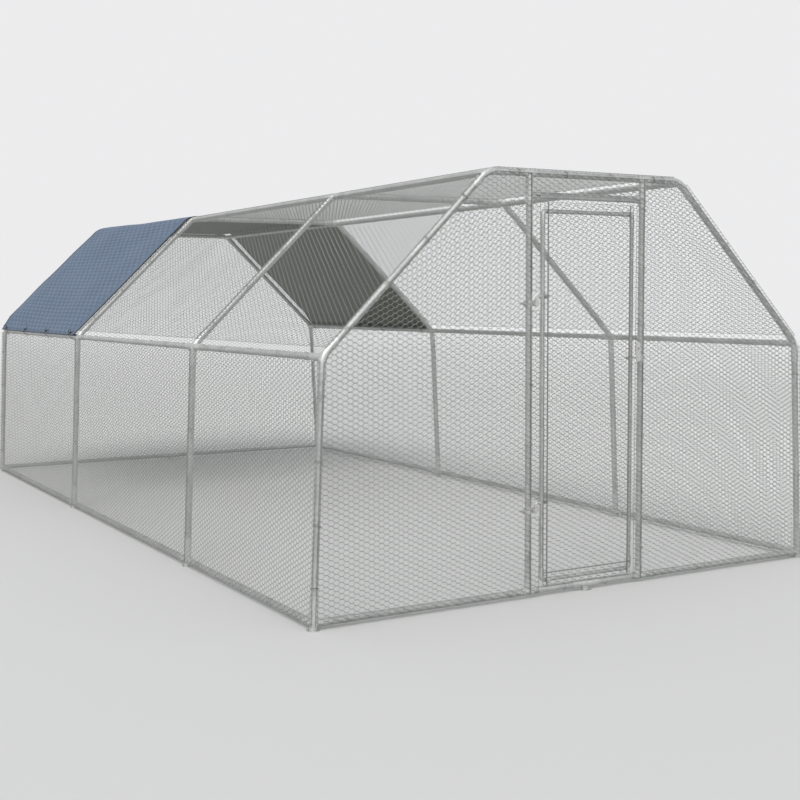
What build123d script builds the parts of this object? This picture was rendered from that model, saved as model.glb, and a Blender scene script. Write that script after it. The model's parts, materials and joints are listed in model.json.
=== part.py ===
from build123d import *
from math import ceil, cos, degrees, radians, sin, sqrt, tan
import os

# Walk-in chicken coop: four tube arches under hexagonal wire netting, a door in the front arch
# and a woven cover over the rear bay. Millimetres, +Z up, +Y from the front to the rear.
# The origin is on the ground in the middle of the outline.

# Arch outline, on tube centre lines
foot_spread = 2960.0
eave_spread = 2850.0
eave_height = 1180.0
flat_top = 1155.0
roof_height = 2005.0
bend_radius = 100.0

# Spacing of the arches, from the front
front_bay = 1530.0
middle_bay = 2205.0
rear_bay = 2205.0

# Tubes
tube_od = 32.0
tube_wall = 0.9
end_gap = 1.0

# Sleeve fittings over the tubes
sleeve_clearance = 0.3
sleeve_wall = 2.2
rail_stub_wall = 1.5
cross_stub_wall = 1.0
arch_socket = 65.0
eave_stub = 105.0
ridge_stub = 80.0
foot_stub = 78.0
foot_socket = 150.0
tee_stub = 60.0
tee_half_length = 34.0
rail_height = 32.0
foot_disc = 58.0
middle_disc = 70.0
foot_disc_thickness = 4.0

# Screws that lock the rails in their sockets
screw_shank = 4.0
screw_hole_clearance = 0.2
screw_head = 10.0
screw_head_height = 3.5
screw_seat = 0.05
screw_inset = 18.0
screw_length = 7.0
eave_screw_dip = 60.0

# Door posts, lintel and door
post_spacing = 684.0
lintel_height = 1905.0
hinge_gap = 79.0
latch_gap = 65.0
door_top = 1832.0
door_bottom = 78.0
door_tube_od = 20.0
door_tube_wall = 0.9
door_sleeve_wall = 1.7
door_bend_radius = 19.0
door_socket = 40.0

# Hinges: eye bolts through bands on the post, L-shaped pintles through the stile
hinge_heights = (421.0, 1401.0)
hinge_reach = 43.0
hinge_bolt = 12.0
hinge_pin_clearance = 0.05
bolt_hole_clearance = 0.25
bolt_tail = 31.0
band_height = 26.0
band_wall = 1.8
band_clearance = 0.1
nut_across_flats = 19.0
nut_thickness = 10.0
nut_flange = 24.0
nut_flange_thickness = 2.5
nut_clearance = 0.15
seat_gap = 0.1
eye_diameter = 28.0
eye_height = 24.0
pintle_rise = 33.0
pintle_bend = 12.0
pintle_tail = 18.0
collar_diameter = 22.0
collar_height = 4.0
collar_gap = 0.3

# Latch: a sliding bolt with a plate handle, a guide bush in the stile and a keeper bush in the post
latch_height = 1130.0
latch_rod = 8.0
latch_rod_clearance = 0.4
bush_wall = 2.6
bush_clearance = 0.15
guide_reach = 5.0
guide_lip = 2.0
keeper_lip = 2.0
keeper_tail = 11.0
latch_rod_tail = 24.0
latch_tip_gap = 6.0
latch_stop_gap = 2.5
handle_rod = 7.0
handle_reach = 39.5
handle_width = 27.0
handle_plate = 4.0
handle_drop = 16.0
handle_rise = 78.0
handle_corner = 7.0
handle_hole = 14.0
handle_hole_rise = 46.0

# Netting: thin sheets with hexagonal gaps on the outer side of the sleeves
net_thickness = 1.6
net_clearance = 0.3
net_border = 8.0
net_bar = 6.0
roof_cell = 130.0
front_cell = 68.0
least_gap_area = 200.0
least_gap_edge = 1.0
net_low_edge = 20.0
net_eave_drop = 12.0
net_split = 1.0
door_net_top_lap = 42.0
door_net_low_lap = 24.0

# Cover over the rear bay with eyelets and ties along both eaves
cover_thickness = 1.5
cover_clearance = 0.4
cover_overhang = 20.0
cover_setback = 22.0
cover_drop = 7.0
eyelet_outside = 16.0
eyelet_hole = 10.0
eyelet_clearance = 0.1
eyelet_lip = 0.6
tie_width = 7.0
tie_thickness = 2.5
tie_slack = 2.5
tie_gap = 0.3
tie_corner = 6.0
tie_inset = 20.0
ties_per_side = 4

# Values that follow from the dimensions above
tube_radius = tube_od / 2
sleeve_bore = tube_radius + sleeve_clearance
sleeve_outer = sleeve_bore + sleeve_wall
rail_stub_outer = sleeve_bore + rail_stub_wall
cross_stub_outer = sleeve_bore + cross_stub_wall
tube_stop = sleeve_outer + end_gap
door_radius = door_tube_od / 2
door_sleeve_bore = door_radius + sleeve_clearance
door_sleeve_outer = door_sleeve_bore + door_sleeve_wall
net_offset = sleeve_outer + net_clearance
net_outside = net_offset + net_thickness
door_net_offset = door_sleeve_outer + net_clearance
cover_offset = net_outside + cover_clearance
cover_outside = cover_offset + cover_thickness

# How far the coop reaches past the front and the rear arch
front_reach = max(handle_reach, foot_disc / 2, middle_disc / 2, net_outside)
rear_reach = max(foot_disc / 2, middle_disc / 2, net_outside, cover_overhang)
arch_length = front_bay + middle_bay + rear_bay
front_y = (front_reach - rear_reach - arch_length) / 2
arch_y = (
    front_y,
    front_y + front_bay,
    front_y + front_bay + middle_bay,
    front_y + arch_length,
)
arch_names = ("front", "second", "third", "rear")
sides = {"left": -1, "right": 1}

UP = Vector(0, 0, 1)
BACK = Vector(0, 1, 0)
RIGHT = Vector(1, 0, 0)


def foot_point(side):
    return Vector(side * foot_spread / 2, 0, 0)


def eave_point(side):
    return Vector(side * eave_spread / 2, 0, eave_height)


def ridge_point(side):
    return Vector(side * flat_top / 2, 0, roof_height)


def leg_way(side):
    return (eave_point(side) - foot_point(side)).normalized()


def rafter_way(side):
    return (ridge_point(side) - eave_point(side)).normalized()


def inward(side):
    return Vector(-side, 0, 0)


def outside_of(way, side):
    """The direction square to a member of the arch, away from the inside."""
    return Vector(side * way.Z, 0, -side * way.X)


def turn_between(first, second):
    return radians(first.get_angle(second))


eave_turn = turn_between(leg_way(1), rafter_way(1))
ridge_turn = turn_between(rafter_way(1), inward(1))
eave_tangent = bend_radius * tan(eave_turn / 2)
ridge_tangent = bend_radius * tan(ridge_turn / 2)


def bend_middle(corner, before, after, turn):
    """The middle of the bend on the centre line, where the side sockets start."""
    return corner + (after - before).normalized() * bend_radius * (1 / cos(turn / 2) - 1)


def eave_middle(side):
    return bend_middle(eave_point(side), leg_way(side), rafter_way(side), eave_turn)


def ridge_middle(side):
    return bend_middle(ridge_point(side), rafter_way(side), inward(side), ridge_turn)


def rail_point(side):
    return foot_point(side) + leg_way(side) * (rail_height / leg_way(side).Z)


def at_y(point, y):
    return Vector(point.X, y, point.Z)


def write_node(name, solids):
    """One node of the assembly: a single piece or a group of like pieces."""
    with BuildPart() as node:
        add(solids)
    node.part.label = name
    export_step(node.part, f"parts/{name}.step")


def tube(start, end, radius, wall, holes=()):
    """A straight tube; each hole is a point on the axis, a direction and a radius."""
    with BuildPart() as piece:
        with BuildSketch(Plane(origin=start, z_dir=end - start)):
            Circle(radius)
            Circle(radius - wall, mode=Mode.SUBTRACT)
        extrude(amount=(end - start).length)
        for point, way, hole_radius, both_walls in holes:
            with BuildSketch(Plane(origin=point, z_dir=way)):
                Circle(hole_radius)
            extrude(amount=2 * radius, both=both_walls, mode=Mode.SUBTRACT)
    return piece.part


# Rail sockets, with the place of the screw in each
screw_hole = screw_shank / 2 + screw_hole_clearance


def screw_way(line, side):
    if line == "eave":
        dip = radians(eave_screw_dip)
        return Vector(side * cos(dip), 0, -sin(dip))
    if line == "ridge":
        return -UP
    return UP


stub_length = {"eave": eave_stub, "ridge": ridge_stub, "ground": foot_stub}
line_point = {"eave": eave_middle, "ridge": ridge_middle, "ground": rail_point}


def stub_ways(index):
    """Along the coop: towards the rear on the front arch, both ways on the middle ones."""
    ways = []
    if index < len(arch_y) - 1:
        ways.append(BACK)
    if index > 0:
        ways.append(-BACK)
    return ways


def stub_outer(way):
    """The sockets across the coop are a little slimmer than those along it."""
    return cross_stub_outer if way.X else rail_stub_outer


def screw_site(line, side, origin, way):
    point = origin + way * (stub_length[line] - screw_inset)
    return point, screw_way(line, side)


def screw(point, way, socket_radius):
    """A pan-head screw through the socket wall and the tube wall."""
    seat = point + way * (socket_radius + screw_seat)
    with BuildPart() as piece:
        with BuildSketch(Plane(origin=seat, z_dir=way)):
            Circle(screw_head / 2)
        extrude(amount=screw_head_height)
        fillet(piece.edges().sort_by(Axis(seat, way))[-1], screw_head_height / 2)
        with BuildSketch(Plane(origin=seat, z_dir=-way)):
            Circle(screw_shank / 2)
        extrude(amount=screw_length)
    return piece.part


def elbow(side, y, line, ways):
    """A bent sleeve over two members of the arch, with a socket for each rail."""
    if line == "eave":
        corner, before, after, tangent = eave_point(side), leg_way(side), rafter_way(side), eave_tangent
    else:
        corner, before, after, tangent = ridge_point(side), rafter_way(side), inward(side), ridge_tangent
    corner = at_y(corner, y)
    reach = tangent + arch_socket
    origin = at_y(line_point[line](side), y)
    start = Plane(origin=corner - before * reach, z_dir=before)
    with BuildPart() as piece:
        with BuildLine() as run:
            FilletPolyline(corner - before * reach, corner, corner + after * reach, radius=bend_radius)
        with BuildSketch(start):
            Circle(sleeve_outer)
        sweep(path=run.line)
        for way in ways:
            with BuildSketch(Plane(origin=origin, z_dir=way)):
                Circle(stub_outer(way))
            extrude(amount=stub_length[line])
        with BuildSketch(start):
            Circle(sleeve_bore)
        sweep(path=run.line, mode=Mode.SUBTRACT)
        for way in ways:
            with BuildSketch(Plane(origin=origin + way * sleeve_outer, z_dir=way)):
                Circle(sleeve_bore)
            extrude(amount=stub_length[line], mode=Mode.SUBTRACT)
            point, out = screw_site(line, side, origin, way)
            with BuildSketch(Plane(origin=point, z_dir=out)):
                Circle(screw_hole)
            extrude(amount=2 * sleeve_outer, mode=Mode.SUBTRACT)
    return piece.part


def foot_ways(index, side):
    """The rails that meet at a foot: along the coop, and across it on the end arches."""
    ways = stub_ways(index)
    if index in (0, len(arch_y) - 1):
        ways.append(inward(side))
    return ways


def foot_fitting(side, y, ways):
    """A base disc, a sleeve for the leg and a socket for each ground rail."""
    ground = at_y(foot_point(side), y)
    origin = at_y(rail_point(side), y)
    leg = leg_way(side)
    base = Plane(origin=ground + leg * foot_disc_thickness / 2, z_dir=leg)
    bore_start = rail_height + rail_stub_outer
    with BuildPart() as piece:
        with BuildSketch(Plane(origin=ground)):
            Circle(foot_disc / 2)
        extrude(amount=foot_disc_thickness)
        with BuildSketch(base):
            Circle(sleeve_outer)
        extrude(amount=foot_socket)
        for way in ways:
            with BuildSketch(Plane(origin=origin, z_dir=way)):
                Circle(stub_outer(way))
            extrude(amount=foot_stub)
        with BuildSketch(base.offset(bore_start)):
            Circle(sleeve_bore)
        extrude(amount=foot_socket, mode=Mode.SUBTRACT)
        for way in ways:
            with BuildSketch(Plane(origin=origin + way * sleeve_outer, z_dir=way)):
                Circle(sleeve_bore)
            extrude(amount=foot_stub, mode=Mode.SUBTRACT)
            point, out = screw_site("ground", side, origin, way)
            with BuildSketch(Plane(origin=point, z_dir=out)):
                Circle(screw_hole)
            extrude(amount=2 * sleeve_outer, mode=Mode.SUBTRACT)
    return piece.part


def middle_foot(y):
    """A base disc under a sleeve that joins the two lengths of a cross rail."""
    with BuildPart() as piece:
        with BuildSketch(Plane(origin=(0, y, 0))):
            Circle(middle_disc / 2)
        extrude(amount=foot_disc_thickness)
        with BuildSketch(Plane(origin=(0, y, 0))):
            Circle(rail_stub_outer)
        extrude(amount=rail_height)
        across = Plane(origin=(0, y, rail_height), z_dir=(1, 0, 0))
        with BuildSketch(across):
            Circle(sleeve_outer)
        extrude(amount=foot_stub, both=True)
        with BuildSketch(across):
            Circle(sleeve_bore)
        extrude(amount=foot_stub, both=True, mode=Mode.SUBTRACT)
    return piece.part


def tee(origin, along, branch):
    """A sleeve along one tube with a socket for a second tube square to it."""
    with BuildPart() as piece:
        with BuildSketch(Plane(origin=origin, z_dir=along)):
            Circle(sleeve_outer)
        extrude(amount=tee_half_length, both=True)
        with BuildSketch(Plane(origin=origin, z_dir=branch)):
            Circle(rail_stub_outer)
        extrude(amount=tee_stub)
        with BuildSketch(Plane(origin=origin, z_dir=along)):
            Circle(sleeve_bore)
        extrude(amount=tee_half_length, both=True, mode=Mode.SUBTRACT)
        with BuildSketch(Plane(origin=origin + branch * sleeve_outer, z_dir=branch)):
            Circle(sleeve_bore)
        extrude(amount=tee_stub, mode=Mode.SUBTRACT)
    return piece.part


def cut_back(polygon, start, end):
    """The part of a convex polygon that stays a border's width inside one edge of the netting."""
    along = (end - start).normalized()
    inwards = Vector(-along.Y, along.X)
    depths = [(point - start).dot(inwards) - net_border for point in polygon]
    kept = []
    for i, point in enumerate(polygon):
        before, depth = depths[i - 1], depths[i]
        if before * depth < 0:
            kept.append(polygon[i - 1] + (point - polygon[i - 1]) * (before / (before - depth)))
        if depth >= 0:
            kept.append(point)
    return [point for i, point in enumerate(kept) if (point - kept[i - 1]).length > least_gap_edge]


def area_of(polygon):
    edges = zip(polygon[-1:] + polygon, polygon)
    return sum(start.X * end.Y - end.X * start.Y for start, end in edges) / 2


def net_gaps(outline, cell):
    """Flat-topped hexagons in staggered columns, cut back at the border."""
    low = Vector(min(point.X for point in outline), min(point.Y for point in outline))
    high = Vector(max(point.X for point in outline), max(point.Y for point in outline))
    column = 1.5 * cell
    row = sqrt(3) * cell
    reach = cell - net_bar / sqrt(3)
    corners = [Vector(reach * cos(turn), reach * sin(turn)) for turn in (radians(60 * k) for k in range(6))]
    gaps = []
    for i in range(ceil((high.X - low.X) / column) + 1):
        for j in range(ceil((high.Y - low.Y) / row) + 1):
            centre = low + Vector(i * column, (j + i % 2 / 2) * row)
            gap = [centre + corner for corner in corners]
            for k, end in enumerate(outline):
                gap = cut_back(gap, outline[k - 1], end)
            if len(gap) > 2 and area_of(gap) > least_gap_area:
                gaps.append(gap)
    return gaps


def net(plane, outline, cell):
    """A thin sheet with hexagonal gaps and a plain border, on a convex outline."""
    outline = [Vector(x, y) for x, y in outline]
    if area_of(outline) < 0:
        outline.reverse()
    gap_wires = [Wire.make_polygon(gap) for gap in net_gaps(outline, cell)]
    sheet = Face(Wire.make_polygon(outline), gap_wires)
    with BuildPart() as piece:
        with BuildSketch(plane):
            add(sheet)
        extrude(amount=net_thickness)
    return piece.part


os.makedirs("parts", exist_ok=True)

# Arches: legs, rafters and top bars
leg_seat = foot_disc_thickness / 2 + rail_height + rail_stub_outer + end_gap
for name, y in zip(arch_names, arch_y):
    legs = []
    rafters = []
    for side in sides.values():
        leg_start = foot_point(side) + leg_way(side) * leg_seat
        leg_end = eave_point(side) - leg_way(side) * (eave_tangent + end_gap)
        legs.append(tube(at_y(leg_start, y), at_y(leg_end, y), tube_radius, tube_wall))
        rafter_start = eave_point(side) + rafter_way(side) * (eave_tangent + end_gap)
        rafter_end = ridge_point(side) - rafter_way(side) * (ridge_tangent + end_gap)
        rafters.append(tube(at_y(rafter_start, y), at_y(rafter_end, y), tube_radius, tube_wall))
    write_node(f"{name}_arch_legs", legs)
    write_node(f"{name}_arch_rafters", rafters)
    bar_start = ridge_point(-1) + inward(-1) * (ridge_tangent + end_gap)
    bar_end = ridge_point(1) + inward(1) * (ridge_tangent + end_gap)
    write_node(f"{name}_top_bar", tube(at_y(bar_start, y), at_y(bar_end, y), tube_radius, tube_wall))

# Rails along the coop, one length per bay
for side_name, side in sides.items():
    for line in ("eave", "ridge", "ground"):
        rails = []
        for near, far in zip(arch_y, arch_y[1:]):
            near_point = at_y(line_point[line](side), near)
            far_point = at_y(line_point[line](side), far)
            sites = [
                screw_site(line, side, near_point, BACK),
                screw_site(line, side, far_point, -BACK),
            ]
            holes = [(point, way, screw_hole, False) for point, way in sites]
            start = near_point + BACK * tube_stop
            end = far_point - BACK * tube_stop
            rails.append(tube(start, end, tube_radius, tube_wall, holes))
        write_node(f"{side_name}_{line}_rails", rails)

# Ground rails across the front and the rear, each in two lengths
for name, y in (("front", arch_y[0]), ("rear", arch_y[-1])):
    rails = []
    for side in sides.values():
        corner = at_y(rail_point(side), y)
        point, way = screw_site("ground", side, corner, inward(side))
        start = corner + inward(side) * tube_stop
        end = Vector(side * end_gap, y, rail_height)
        rails.append(tube(start, end, tube_radius, tube_wall, [(point, way, screw_hole, False)]))
    write_node(f"{name}_ground_rails", rails)

# Fittings at the feet, the eaves and the roof corners
screws = []
for side_name, side in sides.items():
    feet = []
    eave_elbows = []
    ridge_elbows = []
    for index, y in enumerate(arch_y):
        feet.append(foot_fitting(side, y, foot_ways(index, side)))
        eave_elbows.append(elbow(side, y, "eave", stub_ways(index)))
        ridge_elbows.append(elbow(side, y, "ridge", stub_ways(index)))
        for line in ("eave", "ridge", "ground"):
            ways = foot_ways(index, side) if line == "ground" else stub_ways(index)
            origin = at_y(line_point[line](side), y)
            screws += [screw(*screw_site(line, side, origin, way), stub_outer(way)) for way in ways]
    write_node(f"{side_name}_feet", feet)
    write_node(f"{side_name}_eave_elbows", eave_elbows)
    write_node(f"{side_name}_ridge_elbows", ridge_elbows)
write_node("fitting_screws", screws)
write_node("middle_feet", [middle_foot(arch_y[0]), middle_foot(arch_y[-1])])

# Door posts, their tees and the lintel
post_x = post_spacing / 2
post_foot = rail_height + tube_stop
post_head = roof_height - tube_stop
hinge_x = -post_x + hinge_reach
hinge_stile_x = -post_x + hinge_gap
latch_stile_x = post_x - latch_gap
bush_bore = latch_rod / 2 + latch_rod_clearance
bush_outer = bush_bore + bush_wall
bolt_hole = hinge_bolt / 2 + bolt_hole_clearance
band_outer = tube_radius + band_clearance + band_wall

eye_holes = [(Vector(-post_x, front_y, z), RIGHT, bolt_hole, True) for z in hinge_heights]
keeper_hole = (Vector(post_x, front_y, latch_height), RIGHT, bush_outer + bush_clearance, True)
post_holes = {"left": eye_holes, "right": [keeper_hole]}
for side_name, side in sides.items():
    start = Vector(side * post_x, front_y, post_foot)
    end = Vector(side * post_x, front_y, post_head)
    post = tube(start, end, tube_radius, tube_wall, post_holes[side_name])
    write_node(f"{side_name}_door_post", post)

lintel_end = post_x - tube_stop
write_node(
    "door_lintel",
    tube(
        Vector(-lintel_end, front_y, lintel_height),
        Vector(lintel_end, front_y, lintel_height),
        tube_radius,
        tube_wall,
    ),
)
post_places = [(side, side * post_x) for side in sides.values()]
write_node(
    "post_base_tees",
    [tee(Vector(x, front_y, rail_height), RIGHT, UP) for side, x in post_places],
)
write_node(
    "post_head_tees",
    [tee(Vector(x, front_y, roof_height), RIGHT, -UP) for side, x in post_places],
)
write_node(
    "lintel_tees",
    [tee(Vector(x, front_y, lintel_height), UP, inward(side)) for side, x in post_places],
)

# Netting on the walls, the slopes and the flat top, in strips along the coop
leg_length = (eave_point(1) - foot_point(1)).length
rafter_length = (ridge_point(1) - eave_point(1)).length
strip_front = arch_y[0] - tube_radius
strip_rear = arch_y[-1] + tube_radius


def strip(low, high, side):
    """The outline of a strip, from the front arch to the rear one, on a plane facing outwards."""
    first = side * strip_front
    last = side * strip_rear
    return [(first, low), (last, low), (last, high), (first, high)]


for side_name, side in sides.items():
    wall_out = outside_of(leg_way(side), side)
    wall = Plane(
        origin=foot_point(side) + wall_out * net_offset, x_dir=(0, side, 0), z_dir=wall_out
    )
    wall_top = (eave_middle(side).Z - net_eave_drop) / leg_way(side).Z
    write_node(f"{side_name}_wall_net", net(wall, strip(net_low_edge, wall_top, side), roof_cell))
    slope_out = outside_of(rafter_way(side), side)
    slope = Plane(
        origin=eave_point(side) + slope_out * net_offset, x_dir=(0, side, 0), z_dir=slope_out
    )
    slope_outline = strip(eave_tangent, rafter_length - ridge_tangent, side)
    write_node(f"{side_name}_roof_net", net(slope, slope_outline, roof_cell))

top_half = flat_top / 2 - ridge_tangent
top_plane = Plane(origin=(0, 0, roof_height + net_offset), x_dir=(0, 1, 0), z_dir=(0, 0, 1))
write_node("top_net", net(top_plane, strip(-top_half, top_half, 1), roof_cell))


def arch_corners(side):
    """The centre line of half an arch from the ground rail to the top bar, bends cut across."""
    leg, rafter = leg_way(side), rafter_way(side)
    corners = [
        foot_point(side) + leg * net_low_edge,
        eave_point(side) - leg * eave_tangent,
        eave_point(side) + rafter * eave_tangent,
        ridge_point(side) - rafter * ridge_tangent,
        ridge_point(side) + inward(side) * ridge_tangent,
    ]
    return [(corner.X, corner.Z) for corner in corners]


# Netting across the rear, and across the front beside and above the door
rear_plane = Plane(origin=(0, arch_y[-1] + net_offset, 0), x_dir=(-1, 0, 0), z_dir=BACK)
rear_outline = [(-x, z) for x, z in arch_corners(-1) + arch_corners(1)[::-1]]
write_node("rear_net", net(rear_plane, rear_outline, roof_cell))

front_plane = Plane(origin=(0, front_y - net_offset, 0), x_dir=(1, 0, 0), z_dir=-BACK)
for side_name, side in sides.items():
    edge = side * (post_x + net_split)
    low_z = arch_corners(side)[0][1]
    outline = arch_corners(side) + [(edge, roof_height), (edge, low_z)]
    write_node(f"front_{side_name}_net", net(front_plane, outline, front_cell))
over_x = post_x - net_split
over_outline = [
    (-over_x, lintel_height),
    (over_x, lintel_height),
    (over_x, roof_height),
    (-over_x, roof_height),
]
write_node("front_top_net", net(front_plane, over_outline, front_cell))

# Cover over the rear bay: one sheet from eave to eave that starts just behind the third arch
cover_front = arch_y[-2] + cover_setback
cover_rear = arch_y[-1] + cover_overhang


def cover_line(distance):
    """The corners of the sheet's section at a distance from the frame's centre lines."""
    corners = []
    for side in (-1, 1):
        out = outside_of(rafter_way(side), side)
        edge = eave_point(side) + out * distance - rafter_way(side) * cover_drop
        top_out = (out + UP).normalized()
        peak = ridge_point(side) + top_out * (distance / cos(ridge_turn / 2))
        corners.append([(edge.X, edge.Z), (peak.X, peak.Z)])
    left, right = corners
    return left + right[::-1]


eyelet_along = tube_radius + tie_slack + tie_thickness / 2
first_tie = eave_stub + tie_inset
tie_step = (rear_bay - 2 * first_tie) / (ties_per_side - 1)
tie_places = [arch_y[-2] + first_tie + tie_step * i for i in range(ties_per_side)]


def eyelet_planes():
    """A plane on the inner face of the cover at each eyelet, facing outwards."""
    planes = []
    for side in sides.values():
        out = outside_of(rafter_way(side), side)
        middle = eave_middle(side)
        inside = (middle - eave_point(side)).dot(out)
        place = middle + rafter_way(side) * eyelet_along + out * (cover_offset - inside)
        planes += [Plane(origin=at_y(place, y), x_dir=BACK, z_dir=out) for y in tie_places]
    return planes


with BuildPart() as roof_cover:
    section = Plane(origin=(0, cover_rear, 0), x_dir=(1, 0, 0), z_dir=-BACK)
    with BuildSketch(section):
        with BuildLine():
            inner = FilletPolyline(*cover_line(cover_offset), radius=bend_radius + cover_offset)
            outer = FilletPolyline(*cover_line(cover_outside), radius=bend_radius + cover_outside)
            Line(inner @ 0, outer @ 0)
            Line(inner @ 1, outer @ 1)
        make_face()
    extrude(amount=cover_rear - cover_front)
    for plane in eyelet_planes():
        with BuildSketch(plane):
            Circle(eyelet_outside / 2 + eyelet_clearance)
        extrude(amount=2 * cover_thickness, both=True, mode=Mode.SUBTRACT)
roof_cover.part.label = "roof_cover"
export_step(roof_cover.part, "parts/roof_cover.step")


def eyelet(plane):
    with BuildPart() as piece:
        with BuildSketch(plane.offset(-eyelet_lip)):
            Circle(eyelet_outside / 2)
            Circle(eyelet_hole / 2, mode=Mode.SUBTRACT)
        extrude(amount=cover_thickness + 2 * eyelet_lip)
    return piece.part


write_node("cover_eyelets", [eyelet(plane) for plane in eyelet_planes()])


def tie(side, y):
    """A flat band through the eyelet and around the eave rail."""
    out = outside_of(rafter_way(side), side)
    middle = eave_middle(side)
    inside = (middle - eave_point(side)).dot(out)
    low = -tube_radius - tie_gap
    high = cover_outside - inside + eyelet_lip + tie_corner
    half = tube_radius + tie_slack
    centre = at_y(middle + out * (low + high) / 2, y)
    band = Plane(origin=centre, x_dir=out, z_dir=BACK)
    with BuildPart() as piece:
        with BuildSketch(band):
            RectangleRounded(
                high - low + 2 * tie_thickness, 2 * half + 2 * tie_thickness, tie_corner + tie_thickness
            )
            RectangleRounded(high - low, 2 * half, tie_corner, mode=Mode.SUBTRACT)
        extrude(amount=tie_width / 2, both=True)
    return piece.part


write_node("cover_ties", [tie(side, y) for side in sides.values() for y in tie_places])


# Hinges: each eye bolt goes through a band and the left post, each pintle through the hinge stile
half_band = UP * (band_height / 2)
write_node(
    "hinge_post_bands",
    [tube(hole[0] - half_band, hole[0] + half_band, band_outer, band_wall, [hole]) for hole in eye_holes],
)


def hinge_nuts(x, radius, z):
    """A flanged nut on each side of the band or the tube that a bolt goes through."""
    nuts = []
    for way in (-RIGHT, RIGHT):
        seat = Plane(origin=Vector(x, front_y, z) + way * (radius + seat_gap), x_dir=UP, z_dir=way)
        with BuildPart() as piece:
            with BuildSketch(seat):
                Circle(nut_flange / 2)
            extrude(amount=nut_flange_thickness)
            with BuildSketch(seat):
                RegularPolygon(nut_across_flats / 2, 6, major_radius=False)
            extrude(amount=nut_thickness)
            with BuildSketch(seat):
                Circle(hinge_bolt / 2 + nut_clearance)
            extrude(amount=nut_thickness, mode=Mode.SUBTRACT)
        nuts.append(piece.part)
    return nuts


def eye_bolt(z):
    eye_base = Plane(origin=(hinge_x, front_y, z - eye_height / 2))
    with BuildPart() as piece:
        with BuildSketch(eye_base):
            Circle(eye_diameter / 2)
        extrude(amount=eye_height)
        with BuildSketch(Plane(origin=(hinge_x, front_y, z), z_dir=-RIGHT)):
            Circle(hinge_bolt / 2)
        extrude(amount=hinge_reach + tube_radius + bolt_tail)
        with BuildSketch(eye_base):
            Circle(hinge_bolt / 2 + hinge_pin_clearance)
        extrude(amount=eye_height, mode=Mode.SUBTRACT)
    return piece.part


def pintle(z):
    collar_base = z + eye_height / 2 + collar_gap
    top = z + pintle_rise
    with BuildPart() as piece:
        with BuildLine() as rod:
            FilletPolyline(
                (hinge_x, front_y, z - pintle_tail),
                (hinge_x, front_y, top),
                (hinge_stile_x + door_radius + bolt_tail, front_y, top),
                radius=pintle_bend,
            )
        with BuildSketch(Plane(origin=(hinge_x, front_y, z - pintle_tail))):
            Circle(hinge_bolt / 2)
        sweep(path=rod.line)
        with BuildSketch(Plane(origin=(hinge_x, front_y, collar_base))):
            Circle(collar_diameter / 2)
        extrude(amount=collar_height)
    return piece.part


eye_nuts = []
pintle_nuts = []
for z in hinge_heights:
    eye_nuts += hinge_nuts(-post_x, band_outer, z)
    pintle_nuts += hinge_nuts(hinge_stile_x, door_radius, z + pintle_rise)
write_node("hinge_eye_bolts", [eye_bolt(z) for z in hinge_heights])
write_node("eye_bolt_nuts", eye_nuts)
write_node("hinge_pintles", [pintle(z) for z in hinge_heights])
write_node("pintle_nuts", pintle_nuts)

# Door frame: two stiles and two rails in elbows
door_reach = door_bend_radius + door_socket
door_inset = door_bend_radius + end_gap
pintle_holes = [
    (Vector(hinge_stile_x, front_y, z + pintle_rise), RIGHT, bolt_hole, True) for z in hinge_heights
]
guide_hole = (Vector(latch_stile_x, front_y, latch_height), RIGHT, bush_outer + bush_clearance, True)
for name, x, holes in (
    ("door_hinge_stile", hinge_stile_x, pintle_holes),
    ("door_latch_stile", latch_stile_x, [guide_hole]),
):
    start = Vector(x, front_y, door_bottom + door_inset)
    end = Vector(x, front_y, door_top - door_inset)
    write_node(name, tube(start, end, door_radius, door_tube_wall, holes))
for name, z in (("door_top_rail", door_top), ("door_bottom_rail", door_bottom)):
    start = Vector(hinge_stile_x + door_inset, front_y, z)
    end = Vector(latch_stile_x - door_inset, front_y, z)
    write_node(name, tube(start, end, door_radius, door_tube_wall))


def door_elbow(x, z, across, along):
    """A bent sleeve over the end of a rail and of a stile."""
    corner = Vector(x, front_y, z)
    start = Plane(origin=corner + across * door_reach, z_dir=-across)
    with BuildPart() as piece:
        with BuildLine() as run:
            FilletPolyline(
                corner + across * door_reach, corner, corner + along * door_reach, radius=door_bend_radius
            )
        with BuildSketch(start):
            Circle(door_sleeve_outer)
            Circle(door_sleeve_bore, mode=Mode.SUBTRACT)
        sweep(path=run.line)
    return piece.part


door_corners = [
    door_elbow(x, z, across, along)
    for x, across in ((hinge_stile_x, RIGHT), (latch_stile_x, -RIGHT))
    for z, along in ((door_bottom, UP), (door_top, -UP))
]
write_node("door_corner_elbows", door_corners)

# The netting of the door laps past its rails and narrows the gaps above and below the door
door_plane = Plane(origin=(0, front_y - door_net_offset, 0), x_dir=(1, 0, 0), z_dir=-BACK)
door_outline = [
    (hinge_stile_x, door_bottom - door_net_low_lap),
    (latch_stile_x, door_bottom - door_net_low_lap),
    (latch_stile_x, door_top + door_net_top_lap),
    (hinge_stile_x, door_top + door_net_top_lap),
]
write_node("door_net", net(door_plane, door_outline, front_cell))


# Latch bushes and the sliding bolt, drawn back from the keeper
def bush(start, end):
    with BuildPart() as piece:
        with BuildSketch(Plane(origin=(start, front_y, latch_height), z_dir=RIGHT)):
            Circle(bush_outer)
            Circle(bush_bore, mode=Mode.SUBTRACT)
        extrude(amount=end - start)
    return piece.part


guide_start = latch_stile_x - door_radius - guide_reach
guide_end = latch_stile_x + door_radius + guide_lip
keeper_start = post_x - tube_radius - keeper_lip
keeper_end = post_x + tube_radius + keeper_tail
write_node("latch_guide", bush(guide_start, guide_end))
write_node("latch_keeper", bush(keeper_start, keeper_end))

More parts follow.
